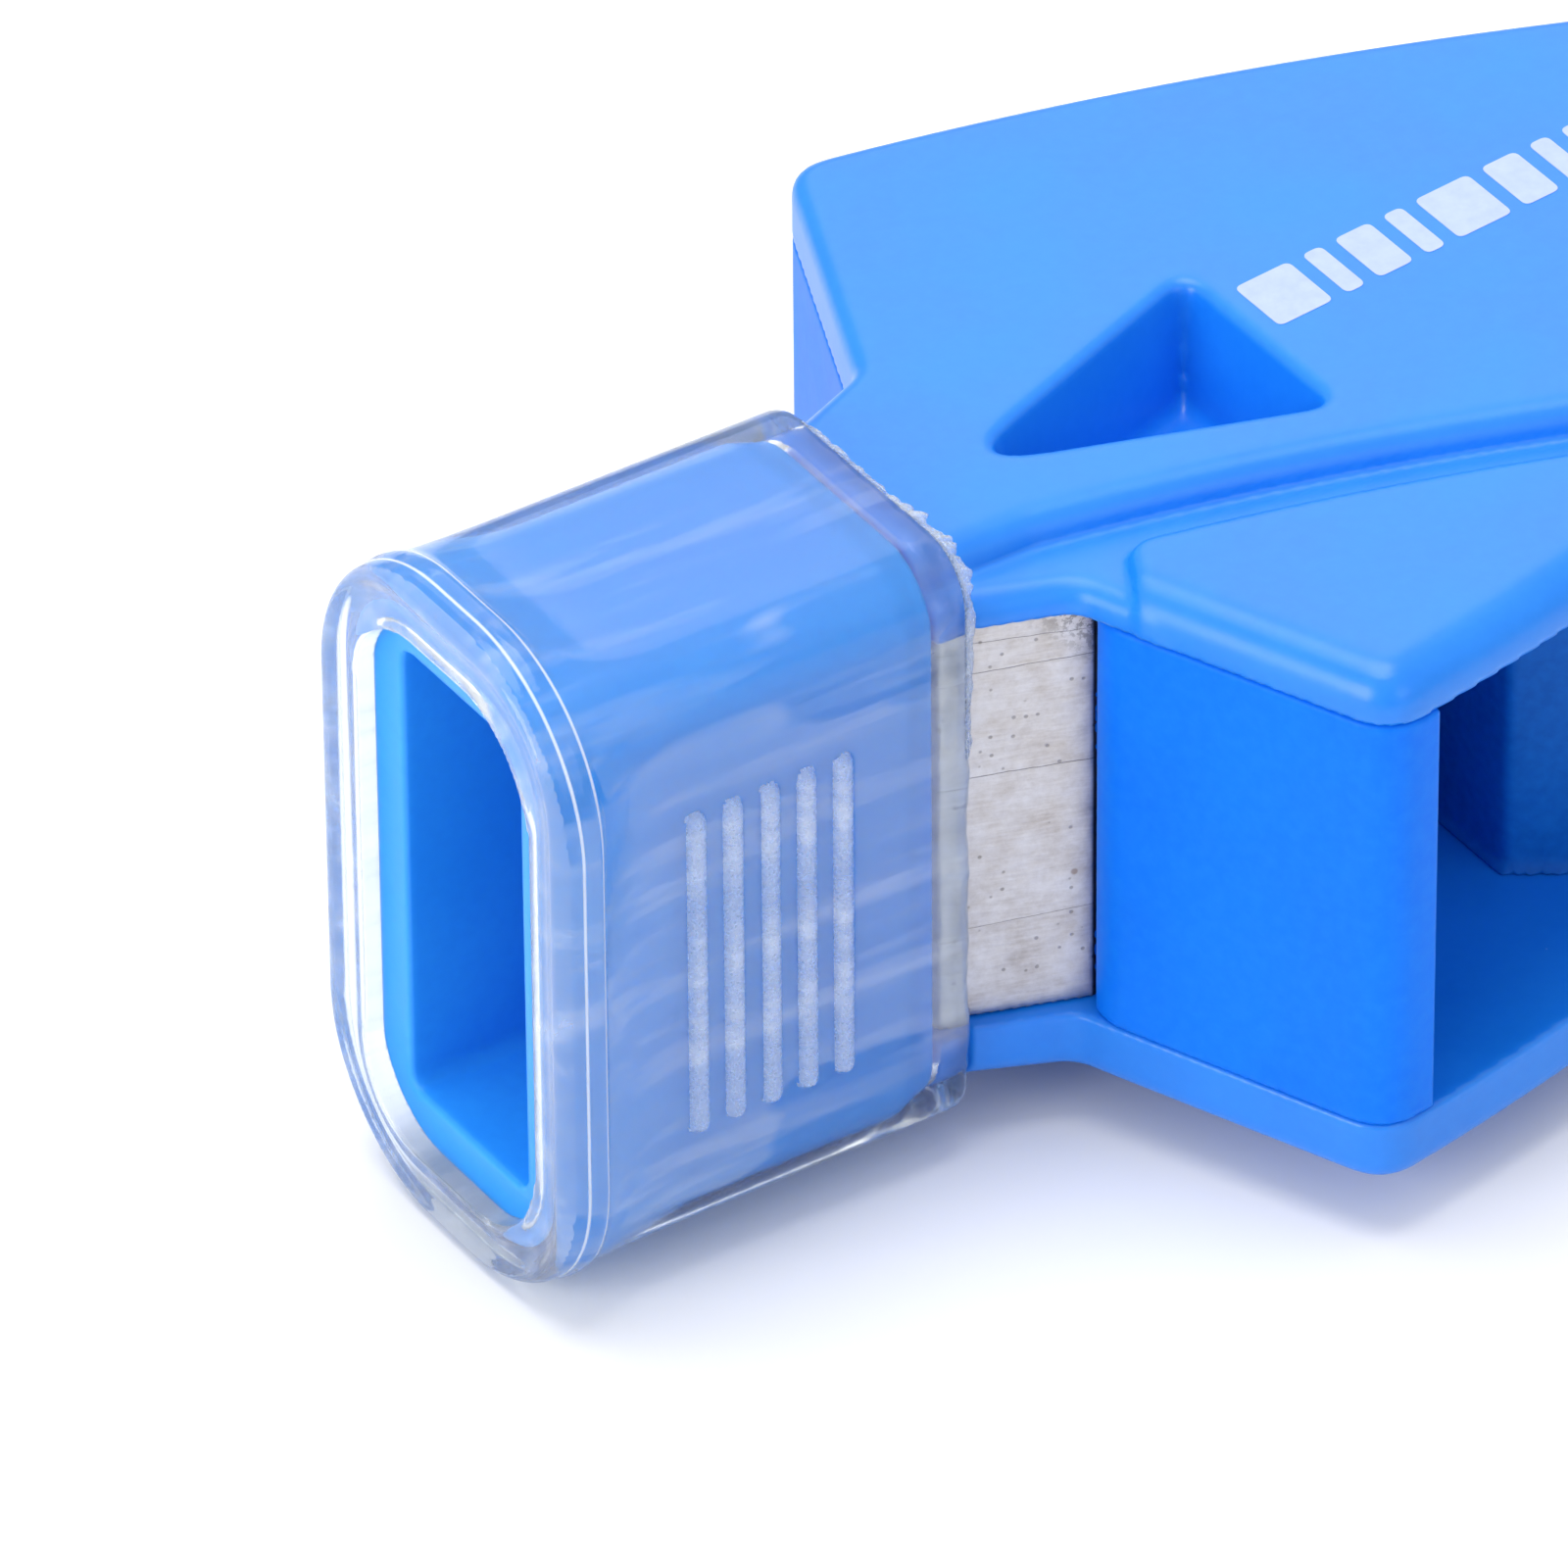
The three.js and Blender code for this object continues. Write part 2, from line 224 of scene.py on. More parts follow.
def wave_noise(seed, *coords):
    """Smooth noise, roughly in [-1, 1], from a few seeded waves."""
    waves, growth, fading, stretch, turn, total_size = 6, 1.75, 1.35, 2.1, 1.3, 3.2
    rng = np.random.default_rng(seed)
    total = 0.0
    for k in range(waves):
        freq = rng.uniform(0.6, 1.0) * growth**k
        angle = rng.uniform(0, 2 * math.pi, len(coords) + 1)
        wave = sum(c * freq * math.cos(angle[i] + turn * i) for i, c in enumerate(coords))
        total = total + np.sin(wave * stretch + angle[-1]) / fading**k
    return total / total_size


# ---------------------------------------------------------------- meshes
def surface(field_of, low, high, step):
    """Surface-net mesh (vertices, quads) of the zero level of field_of(x, y, z) in a box."""
    axes = [np.arange(low[i], high[i] + step, step, dtype=np.float64) for i in range(3)]
    x, y, z = axes[0][:, None, None], axes[1][None, :, None], axes[2][None, None, :]
    shape = tuple(len(a) for a in axes)
    f = np.ascontiguousarray(np.broadcast_to(field_of(x, y, z), shape), dtype=np.float32)
    inside = f < 0
    mixed_count = np.zeros(tuple(n - 1 for n in shape), np.int8)
    corners = [(i, j, k) for i in (0, 1) for j in (0, 1) for k in (0, 1)]
    for i, j, k in corners:
        mixed_count += inside[i : shape[0] - 1 + i, j : shape[1] - 1 + j, k : shape[2] - 1 + k]
    cells = np.argwhere((mixed_count > 0) & (mixed_count < len(corners)))
    index = np.full(mixed_count.shape, -1, np.int32)
    index[tuple(cells.T)] = np.arange(len(cells))
    values = {c: f[tuple((cells + c).T)] for c in corners}
    total, hits = np.zeros((len(cells), 3)), np.zeros(len(cells))
    for a in corners:
        for axis in range(3):
            if a[axis]:
                continue
            b = tuple(1 if i == axis else a[i] for i in range(3))
            va, vb = values[a], values[b]
            cross = (va < 0) != (vb < 0)
            t = np.where(cross, va / np.where(cross, va - vb, 1), 0)
            spot = np.array(a, float)[None, :].repeat(len(cells), 0)
            spot[:, axis] += t
            total += spot * cross[:, None]
            hits += cross
    spots = cells + total / hits[:, None]
    spots = settle(f, spots)
    quads = []
    for axis in range(3):
        u, v = (axis + 1) % 3, (axis + 2) % 3
        first = [slice(None)] * 3
        second = [slice(None)] * 3
        first[axis], second[axis] = slice(0, shape[axis] - 1), slice(1, shape[axis])
        edge = np.argwhere(inside[tuple(first)] != inside[tuple(second)])
        within = (edge[:, u] > 0) & (edge[:, v] > 0)
        within &= (edge[:, u] < shape[u] - 1) & (edge[:, v] < shape[v] - 1)
        edge = edge[within]
        around = []
        for du, dv in ((-1, -1), (0, -1), (0, 0), (-1, 0)):
            cell = edge.copy()
            cell[:, u] += du
            cell[:, v] += dv
            around.append(index[tuple(cell.T)])
        quad = np.stack(around, 1)
        flip = ~inside[tuple(edge.T)]
        quad[flip] = quad[flip][:, ::-1]
        quads.append(quad)
    vertices = np.array([a[0] for a in axes]) + spots * step
    return vertices, np.concatenate(quads)


def settle(f, spots):
    """Moves each point onto the field's zero level, by at most half a cell on each axis."""
    rounds, reach, least_slope = 3, 0.5, 1e-4
    top = np.array(f.shape) - 2
    start = spots.copy()
    for _ in range(rounds):
        base = np.clip(np.floor(spots).astype(int), 0, top)
        t = spots - base
        value, slope = 0.0, np.zeros_like(spots)
        for i in (0, 1):
            for j in (0, 1):
                for k in (0, 1):
                    v = f[base[:, 0] + i, base[:, 1] + j, base[:, 2] + k].astype(float)
                    wx = t[:, 0] if i else 1 - t[:, 0]
                    wy = t[:, 1] if j else 1 - t[:, 1]
                    wz = t[:, 2] if k else 1 - t[:, 2]
                    value = value + v * wx * wy * wz
                    slope[:, 0] += v * wy * wz * (1 if i else -1)
                    slope[:, 1] += v * wx * wz * (1 if j else -1)
                    slope[:, 2] += v * wx * wy * (1 if k else -1)
        size = np.maximum((slope**2).sum(1), least_slope)
        spots = spots - slope * (value / size)[:, None]
        spots = start + np.clip(spots - start, -reach, reach)
    return spots


def mesh_object(name, vertices, faces, body, slot, material, replaces=()):
    mesh = bpy.data.meshes.new(name)
    places = (np.asarray(vertices, float) + SHIFT) * MM
    mesh.from_pydata(places.tolist(), [], [list(map(int, q)) for q in faces])
    mesh.update()
    mesh.polygons.foreach_set("use_smooth", [True] * len(mesh.polygons))
    piece = bpy.data.objects.new(name, mesh)
    bpy.context.scene.collection.objects.link(piece)
    mesh.materials.append(material)
    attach(piece, body)
    if replaces:
        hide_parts(*replaces)
    return piece


def turned_over(vertices):
    """The same shape after half a turn about the long axis."""
    return np.asarray(vertices) * (1, -1, -1)


# ---------------------------------------------------------------- materials
def new_material(name):
    material = bpy.data.materials.new(name)
    material.use_nodes = True
    tree = material.node_tree
    shader = tree.nodes["Principled BSDF"]
    return material, tree, shader


def node(tree, kind, **sockets):
    made = tree.nodes.new("ShaderNode" + kind)
    for key, value in sockets.items():
        made.inputs[key.replace("_", " ")].default_value = value
    return made


def where(tree, scale=(1, 1, 1), turn=(0, 0, 0)):
    """Object coordinates, which are the part's own metres, scaled and turned."""
    mapping = node(tree, "Mapping")
    mapping.inputs["Scale"].default_value = scale
    mapping.inputs["Rotation"].default_value = turn
    tree.links.new(tree.nodes.new("ShaderNodeTexCoord").outputs["Object"], mapping.inputs["Vector"])
    return mapping.outputs["Vector"]


def noise(tree, vector, scale, detail=3.0, roughness=0.55):
    made = node(tree, "TexNoise", Scale=scale, Detail=detail, Roughness=roughness)
    tree.links.new(vector, made.inputs["Vector"])
    return made.outputs["Fac"]


def ramp(tree, value, low, high, to_low=0.0, to_high=1.0):
    made = node(tree, "MapRange")
    for key, number in zip(("From Min", "From Max", "To Min", "To Max"), (low, high, to_low, to_high)):
        made.inputs[key].default_value = number
    tree.links.new(value, made.inputs["Value"])
    return made.outputs["Result"]


def mix_colour(tree, factor, a, b):
    """Mixes two colours, each a constant or a socket, by a factor socket."""
    made = tree.nodes.new("ShaderNodeMix")
    made.data_type = "RGBA"
    tree.links.new(factor, made.inputs["Factor"])
    for key, value in (("A", a), ("B", b)):
        socket = [s for s in made.inputs if s.name == key and s.type == "RGBA"][0]
        if isinstance(value, tuple):
            socket.default_value = (*value, 1)
        else:
            tree.links.new(value, socket)
    return [s for s in made.outputs if s.type == "RGBA"][0]


def maths(tree, operation, a, b):
    made = tree.nodes.new("ShaderNodeMath")
    made.operation = operation
    for socket, value in zip(made.inputs, (a, b)):
        if isinstance(value, (int, float)):
            socket.default_value = value
        else:
            tree.links.new(value, socket)
    return made.outputs[0]


def specks(tree, vector, scale, radius, share):
    """1 inside small round specks: one voronoi cell in a few holds one."""
    made = node(tree, "TexVoronoi", Scale=scale)
    tree.links.new(vector, made.inputs["Vector"])
    near = ramp(tree, made.outputs["Distance"], radius, radius * 0.6)
    chosen = node(tree, "SeparateColor")
    tree.links.new(made.outputs["Color"], chosen.inputs["Color"])
    return maths(tree, "MULTIPLY", near, maths(tree, "LESS_THAN", chosen.outputs[0], share))


def bump(tree, shader, height, strength, distance):
    made = node(tree, "Bump", Strength=strength, Distance=distance)
    tree.links.new(height, made.inputs["Height"])
    tree.links.new(made.outputs["Normal"], shader.inputs["Normal"])


BLUE = (0.007, 0.215, 0.80)
BLUE_PALE = (0.014, 0.25, 0.84)
BLUE_DEEP = (0.004, 0.19, 0.75)
DUST_COLOUR, GRIT_COLOUR = (0.25, 0.5, 0.95), (0.004, 0.03, 0.12)


def plastic_material(name, deep=BLUE_DEEP, mid=BLUE, roughness=0.34, gloss=0.5):
    """Moulded plastic, faintly clouded, with fine grain and a little dust and grit."""
    material, tree, shader = new_material(name)
    at = where(tree)
    cloud = noise(tree, at, scale=160, detail=2.0)
    colour = mix_colour(tree, ramp(tree, cloud, 0.35, 0.65), deep, mid)
    grain = noise(tree, at, scale=2600, detail=3.0)
    colour = mix_colour(tree, ramp(tree, grain, 0.35, 0.75, 0, 0.25), colour, BLUE_PALE)
    dust = specks(tree, at, scale=600, radius=0.028, share=0.07)
    colour = mix_colour(tree, maths(tree, "MULTIPLY", dust, 0.45), colour, DUST_COLOUR)
    turned = where(tree, (1, 1, 1), turn=(0.4, 0.2, 0.9))
    grit = specks(tree, turned, scale=420, radius=0.022, share=0.09)
    colour = mix_colour(tree, maths(tree, "MULTIPLY", grit, 0.6), colour, GRIT_COLOUR)
    tree.links.new(colour, shader.inputs["Base Color"])
    rough = ramp(tree, cloud, 0.3, 0.7, roughness - 0.04, roughness + 0.05)
    tree.links.new(rough, shader.inputs["Roughness"])
    shader.inputs["IOR"].default_value = 1.5
    shader.inputs["Specular IOR Level"].default_value = gloss
    shader.inputs["Subsurface Weight"].default_value = 0.12
    shader.inputs["Subsurface Radius"].default_value = (0.25, 0.6, 1.0)
    shader.inputs["Subsurface Scale"].default_value = 0.0006
    height = maths(tree, "ADD", grain, maths(tree, "MULTIPLY", dust, 1.5))
    bump(tree, shader, height, strength=0.10, distance=0.00004)
    return material


# Height at x = 0, slope and half width of each scratch on a plate, in the part frame (metres).
SCRATCHES = (
    (0.01245, 0.0, 0.000022),
    (0.01625, 0.02, 0.000018),
    (0.0167, -0.03, 0.000014),
    (0.0078, 0.05, 0.000013),
)
SCRATCH_WANDER = 0.00012


def scratch(tree, parts, wander, height, slope, half_width):
    """1 along a thin scratch that runs nearly level across the plate."""
    run = maths(tree, "MULTIPLY", parts.outputs["X"], slope)
    off = maths(tree, "SUBTRACT", maths(tree, "SUBTRACT", parts.outputs["Z"], run), height)
    off = maths(tree, "ADD", off, maths(tree, "MULTIPLY", wander, SCRATCH_WANDER))
    return ramp(tree, maths(tree, "ABSOLUTE", off, 0.0), half_width, half_width * 0.4)


def plate_dark_corner_and_gap_shade(tree, parts):
    """Two masks: darker patches towards a plate's upper rear corner, and painted shade on the plate's
    rear end, for the dark gap behind it.
    """
    end = (PLATE_X[1] + SHIFT[0]) * MM
    gap = ramp(tree, parts.outputs["X"], end - 0.00017, end - 0.00010)
    along = maths(tree, "SUBTRACT", parts.outputs["X"], end)
    drop = maths(tree, "SUBTRACT", parts.outputs["Z"], (SHIFT[2] + SEAM_Z) * MM)
    along, drop = (maths(tree, "ABSOLUTE", v, 0.0) for v in (along, drop))
    corner = ramp(tree, maths(tree, "ADD", along, drop), 0.0026, 0.0006)
    patchiness = noise(tree, where(tree, (1, 1, 1), (0.2, 0.9, 0.4)), 3600, 4.0, 0.7)
    return maths(tree, "MULTIPLY", corner, ramp(tree, patchiness, 0.47, 0.53)), gap


def steel_material(name):
    """Rolled sheet: mottled, faintly brushed, with pits, stains and scratches, darker in patches
    towards its upper rear corner, and with painted shade on its rear end by the gap.
    """
    material, tree, shader = new_material(name)
    at = where(tree)
    blotch = noise(tree, at, scale=900, detail=5.0, roughness=0.7)
    brushed = noise(tree, where(tree, (0.12, 0.12, 1), (0, 0.12, 0)), 9000, 3.0, 0.6)
    dark, light, glint = (0.42, 0.385, 0.365), (0.66, 0.65, 0.66), (0.85, 0.84, 0.84)
    colour = mix_colour(tree, ramp(tree, blotch, 0.32, 0.68), dark, light)
    colour = mix_colour(tree, ramp(tree, brushed, 0.40, 0.72, 0, 0.25), colour, glint)
    parts = tree.nodes.new("ShaderNodeSeparateXYZ")
    tree.links.new(at, parts.inputs["Vector"])
    pits = specks(tree, at, scale=3200, radius=0.24, share=0.16)
    turned = where(tree, (1, 1, 1), (0.3, 0.7, 0.1))
    stains = specks(tree, turned, scale=1100, radius=0.14, share=0.09)
    lines = 0.0
    for height, slope, half_width in SCRATCHES:
        line = scratch(tree, parts, blotch, height, slope, half_width)
        lines = maths(tree, "MAXIMUM", lines, line)
    dark_corner, gap = plate_dark_corner_and_gap_shade(tree, parts)
    for mask, strength, mark in (
        (pits, 0.5, (0.10, 0.09, 0.09)),
        (stains, 0.6, (0.20, 0.13, 0.10)),
        (lines, 0.75, (0.16, 0.15, 0.15)),
        # darker in patches towards the upper rear corner
        (dark_corner, 0.8, (0.05, 0.045, 0.045)),
        # painted shade: the rear end near black, for the shadowed gap behind the plate
        (gap, 0.95, (0.012, 0.012, 0.016)),
    ):
        colour = mix_colour(tree, maths(tree, "MULTIPLY", mask, strength), colour, mark)
    tree.links.new(colour, shader.inputs["Base Color"])
    shader.inputs["Metallic"].default_value = 0.85
    tree.links.new(ramp(tree, blotch, 0.3, 0.7, 0.34, 0.55), shader.inputs["Roughness"])
    dents = maths(tree, "MULTIPLY", maths(tree, "ADD", pits, lines), 0.7)
    bump(tree, shader, maths(tree, "SUBTRACT", brushed, dents), strength=0.3, distance=0.00003)
    return material


def rim_highlight_lines(tree, parts, height):
    """1 on the two thin painted highlight lines round the grip's rim, where its edges would catch the
    light, and nowhere nearer to the bore.
    """
    side = maths(tree, "ABSOLUTE", parts.outputs["Y"], 0.0)
    squares = 0.0
    for reach, core in ((side, 0.0010), (height, 0.0056)):
        past = maths(tree, "MAXIMUM", maths(tree, "SUBTRACT", reach, core), 0.0)
        squares = maths(tree, "ADD", maths(tree, "MULTIPLY", past, past), squares)
    proud = ramp(tree, maths(tree, "SQRT", squares, 0.0), 0.0048, 0.0050)
    lines = 0.0
    for edge in RIM_HIGHLIGHT_LINES:
        off = maths(tree, "SUBTRACT", parts.outputs["X"], (edge + SHIFT[0]) * MM)
        line = ramp(tree, maths(tree, "ABSOLUTE", off, 0.0), 0.00007, 0.00003, 0, 0.55)
        lines = maths(tree, "MAXIMUM", line, lines)
    return maths(tree, "MULTIPLY", proud, lines)


def silicone_material(name, milk_dry=0.125, milk_wet=0.03, frosted=False):
    """Milky silicone: clear where it lies wet against the plastic, cloudy on the flat sides."""
    material, tree, shader = new_material(name)
    at = where(tree)
    parts = tree.nodes.new("ShaderNodeSeparateXYZ")
    tree.links.new(at, parts.inputs["Vector"])
    height = maths(tree, "SUBTRACT", parts.outputs["Z"], SHIFT[2] * MM)
    height = maths(tree, "ABSOLUTE", height, 0.0)
    patch = noise(tree, where(tree, (0.35, 1, 1)), scale=330, detail=2.5, roughness=0.5)
    by_height = ramp(tree, height, 0.0052, 0.0086, -0.5, 0.5)
    reach = maths(tree, "ADD", by_height, ramp(tree, patch, 0, 1, -1.3, 1.3))
    wet = ramp(tree, reach, 0.0, 0.10)
    frost = noise(tree, at, scale=5200, detail=3.0, roughness=0.6)
    streak = noise(tree, where(tree, (0.10, 1, 1), (0, 0.1, 0)), 800, 4.0, 0.6)
    cloudy = ramp(tree, wet, 0, 1, milk_dry, milk_wet)
    milk = maths(tree, "MULTIPLY", cloudy, ramp(tree, streak, 0.3, 0.7, 0.8, 1.25))
    milk = maths(tree, "ADD", milk, ramp(tree, streak, 0.50, 0.72, 0.0, 0.11))
    # the rim's painted highlight lines: milkier, so whiter, along its two edges
    milk = maths(tree, "MAXIMUM", milk, rim_highlight_lines(tree, parts, height))
    tree.links.new(maths(tree, "SUBTRACT", 1.0, milk), shader.inputs["Transmission Weight"])
    shader.inputs["IOR"].default_value = 1.41
    rough = (0.14, 0.4) if frosted else (0.06, 0.2)
    tree.links.new(ramp(tree, frost, 0.3, 0.75, *rough), shader.inputs["Roughness"])
    turned = where(tree, (1, 1, 1), (0.5, 0.1, 0.3))
    dust = maths(tree, "MULTIPLY", specks(tree, turned, scale=620, radius=0.035, share=0.05), 0.85)
    colour = mix_colour(tree, dust, (0.93, 0.975, 1.0), (0.06, 0.07, 0.1))
    tree.links.new(colour, shader.inputs["Base Color"])
    strength, distance = (0.8, 0.00006) if frosted else (0.08, 0.00005)
    bump(tree, shader, frost, strength, distance)
    return material


def print_material(name):
    material, tree, shader = new_material(name)
    grain = noise(tree, where(tree), 2500, 3.0)
    colour = mix_colour(tree, ramp(tree, grain, 0.3, 0.7), (0.37, 0.46, 0.84), (0.43, 0.52, 0.88))
    tree.links.new(colour, shader.inputs["Base Color"])
    tree.links.new(ramp(tree, grain, 0.3, 0.7, 0.38, 0.5), shader.inputs["Roughness"])
    return material


def floor_material(name):
    material, tree, shader = new_material(name)
    grain = noise(tree, where(tree), 60, 2.0)
    colour = mix_colour(tree, ramp(tree, grain, 0.3, 0.7), (0.90, 0.90, 0.905), (0.915, 0.915, 0.92))
    tree.links.new(colour, shader.inputs["Base Color"])
    shader.inputs["Roughness"].default_value = 0.9
    shader.inputs["Specular IOR Level"].default_value = 0.1
    return material


SHELL_LOOK = plastic_material("moulded_blue")
# Darker, less glossy copy of the blue for the horn walls: the darker colour is painted shade.
SHADED_WALL_LOOK = plastic_material(
    "moulded_blue_wall_painted_shade", (0.001, 0.155, 0.80), (0.0015, 0.175, 0.85), roughness=0.42, gloss=0.12
)
# Darker copy of the blue for the core's faces in the horns' throats: painted shade, where little light
# reaches inside.
SHADED_INNER_LOOK = plastic_material(
    "moulded_blue_inner_painted_shade", (0.002, 0.115, 0.48), (0.002, 0.13, 0.53), roughness=0.45, gloss=0.15
)
# Lighter copy of the blue for the tube: painted light, for the light that falls into the mouth.
LIT_TUBE_LOOK = plastic_material(
    "moulded_blue_tube_painted_light", (0.019, 0.31, 0.93), (0.024, 0.335, 0.95), roughness=0.38, gloss=0.35
)
STEEL_LOOK = steel_material("brushed_plate")
SILICONE_LOOK = silicone_material("milky_silicone")
RIB_LOOK = silicone_material("frosted_silicone", milk_dry=0.32, milk_wet=0.32, frosted=True)
RIM_LOOK = silicone_material("rim_silicone", milk_dry=0.15, milk_wet=0.15)
TORN_LOOK = silicone_material("torn_silicone", milk_dry=0.27, milk_wet=0.27, frosted=True)
PRINT_LOOK = print_material("pale_print")


# ---------------------------------------------------------------- pieces
def shell_field(x, y, z):
    """Top shell: raised face, ledge and pad, the wedge and web under them, and the recess."""
    plan = prism_field(plan_points(), x, y)
    step = (-y - step_y(x)) * STEP_SLANT
    body = smooth((x - NECK_START_X) / EDGE_BLEND)
    raised = rmax(plan, z - RAISED_Z, lerp(*RAISED_EDGE, body))
    raised = np.maximum(raised, rmax(step, z - RAISED_Z, STEP_EDGE))
    (ax, ay), (bx, by) = PAD_FRONT
    size = math.hypot(ax - bx, ay - by)
    front = ((x - ax) * (ay - by) - (y - ay) * (ax - bx)) / -size
    zone = rmax(front, step_y(x) + GROOVE_WIDTH + y, PAD_CORNER)
    pad = np.maximum(rmax(plan, z - PAD_Z, PAD_EDGE), rmax(zone, z - PAD_Z, PAD_INNER_EDGE))
    ledge_z = LEDGE_Z - LEDGE_DROP * smooth(-(zone + LEDGE_DROP_START) / LEDGE_DROP_REACH)
    ledge = rmax(plan, z - ledge_z, lerp(*LEDGE_EDGE, body))
    ledge = np.maximum(ledge, -step - LEDGE_OVERLAP)
    solid = rmin(rmin(ledge, raised, LEDGE_FILLET), pad, PAD_FILLET)
    solid = rmax(solid, SEAM_Z - z, SEAM_EDGE)
    under = z - SEAM_Z - INNER_OVERLAP
    wedge = np.maximum(prism_field(rounded_polygon(WEDGE), x, y), under)
    web = np.maximum(np.abs(y) - WEB_HALF, np.abs(x - WEB_MIDDLE_X) - WEB_HALF_LENGTH)
    solid = rmin(solid, np.minimum(wedge, np.maximum(web, under)), INNER_FILLET)
    solid = np.maximum(solid, np.maximum(JOINT_GAP / 2 - z, NECK_START_X - x))
    mouth = prism_field(rounded_polygon(POCKET), x, y) + POCKET_DRAFT * (RAISED_Z - z)
    pocket = rmax(mouth, RAISED_Z - POCKET_DEPTH - z, POCKET_FLOOR_FILLET)
    solid = rmax(solid, -pocket, POCKET_EDGE)
    section = rounded_rect(y, z, *NECK_SECTION)
    solid = np.maximum(solid, np.minimum(-(x - NECK_CUT_X), section))
    return rmax(solid, LANYARD_RADIUS - np.hypot(x - LANYARD_X, y), LANYARD_EDGE)


def tube_section(x, y, z, sink=0.0):
    """Outside of the tube, drawn in to the neck's section at its rear end."""
    share = smooth((x - TUBE_X[1] + TUBE_TAPER) / TUBE_TAPER)
    half_y, half_z, r = (lerp(TUBE[i], NECK_SECTION[i], share) for i in range(3))
    return rounded_rect(y, z, half_y - sink, half_z - sink, r)


def tube_field(x, y, z):
    ends = np.maximum(TUBE_X[0] - x, x - TUBE_X[1])
    outside = rmax(tube_section(x, y, z), ends, TUBE_END_EDGE)
    return np.maximum(outside, -rounded_rect(y, z, *DUCT))


def plate_field(x, y, z):
    """Near plate: flat, a little bowed, with slightly ragged ends."""
    mid = 0.5 * (PLATE_X[0] + PLATE_X[1])
    slope = 1 / math.hypot(1, NECK_SLOPE)
    across = (y + neck_y(x) - PLATE_RECESS - PLATE_THICK / 2) * slope
    across = across + PLATE_BOW * wave_noise(5, x * 0.5, z * 0.4)
    ragged = PLATE_RAGGED * wave_noise(9, z * 2.0)
    length = np.abs(x - mid) - (PLATE_X[1] - PLATE_X[0]) / 2 + ragged
    flat = rmax(np.abs(across) - PLATE_THICK / 2 * slope, length, PLATE_EDGE)
    return rmax(flat, np.abs(z) - (SEAM_Z - JOINT_GAP), PLATE_EDGE)


def wall_field(x, y, z):
    points = [
        *WALL_ROOT,
        (0.0, -HORN_HALF_WIDTH, HORN_CORNER_RADIUS),
        (WALL_END_X, -side_y(WALL_END_X)),
        (WALL_END_X - WALL_LIP[0], -side_y(WALL_END_X) + WALL_LIP[1]),
        WALL_INNER,
    ]
    plan = prism_field(rounded_polygon(points), x, y)
    return rmax(plan + WALL_SHRINK, np.abs(z) - (SEAM_Z - WALL_SHRINK), WALL_EDGE)


def core_field(x, y, z):
    """Rear core, with a fillet to the shells that fades out before the outer flanks."""
    tail = (TAIL[0] - CORE_INSET, *TAIL[1:])
    half = [(CORE_X, CORE_Y, CORE_CORNER), *flank_points(CORE_FLARE_X, 9, CORE_INSET), tail]
    plan = prism_field(rounded_polygon(with_mirror(half)), x, y)
    fade = smooth((CORE_FLARE_X - CORE_FILLET_END - x) / CORE_FILLET_FADE)
    plan = rmin(plan, SEAM_Z - np.abs(z), CORE_FILLET * fade + CORE_FILLET_LEAST)
    solid = rmax(plan, np.abs(z) - (SEAM_Z - CORE_GAP), CORE_EDGE)
    return np.maximum(solid, LANYARD_RADIUS - np.hypot(x - LANYARD_X, y))


def rib_field(x, y, z, number, side):
    """One upright rib on the grip's side, a bar with rounded ends."""
    centre = RIBS["first"] + number * RIBS["pitch"]
    low, high = (RIBS["low"], RIBS["high"]) if side < 0 else (-RIBS["high"], -RIBS["low"])
    mid, half = (low + high) / 2, (high - low) / 2 - RIBS["half"]
    along = np.maximum(np.abs(z - mid) - half, 0)
    out = (y * side - GRIP[0]) * RIB_FLATNESS
    return np.hypot(np.hypot(x - centre, along), out) - RIBS["half"]


def grip_field(x, y, z):
    """Sleeve with a flared, dished rim, ribbed sides, a bore round the tube and a mouth lip."""
    rear = GRIP_X[0] + FLANGE_THICK
    start = rear - FLARE_START
    share = np.clip((x - rear + FLARE_START) / FLARE_LENGTH, 0, 1)
    blend = FLARE_SHARE * (1 - share) ** FLARE_POWER
    halves = [lerp(GRIP[i], FLANGE[i], blend) for i in range(3)]
    edge = GRIP_X[1] + GRIP_REAR_WANDER * wave_noise(3, y * 1.6, z * 1.6)
    sleeve = rmax(rounded_rect(y, z, *halves), x - edge, GRIP_REAR_EDGE)
    sleeve = np.maximum(sleeve, start - x)
    flange = rmax(rounded_rect(y, z, *FLANGE), GRIP_X[0] - x, FLANGE_FRONT_EDGE)
    flange = rmax(flange, x - rear, FLANGE_REAR_EDGE)
    dish = np.hypot(rounded_rect(y, z, *DISH), x - GRIP_X[0] + DISH_CENTRE) - DISH_RADIUS
    solid = rmin(sleeve, flange, FLANGE_FILLET)
    solid = rmax(solid, -dish, DISH_EDGE)
    for number in range(RIBS["count"]):
        for side in (-1, 1):
            solid = rmin(solid, rib_field(x, y, z, number, side), RIB_FILLET)
    bore = np.maximum(tube_section(x, y, z, WET_SINK), TUBE_X[0] + WET_SINK - x)
    mouth = np.maximum(rounded_rect(y, z, *LIP), x - TUBE_X[0] - LIP_DEPTH)
    solid = rmax(solid, -bore, BORE_EDGE)
    return rmax(solid, -mouth, LIP_EDGE)


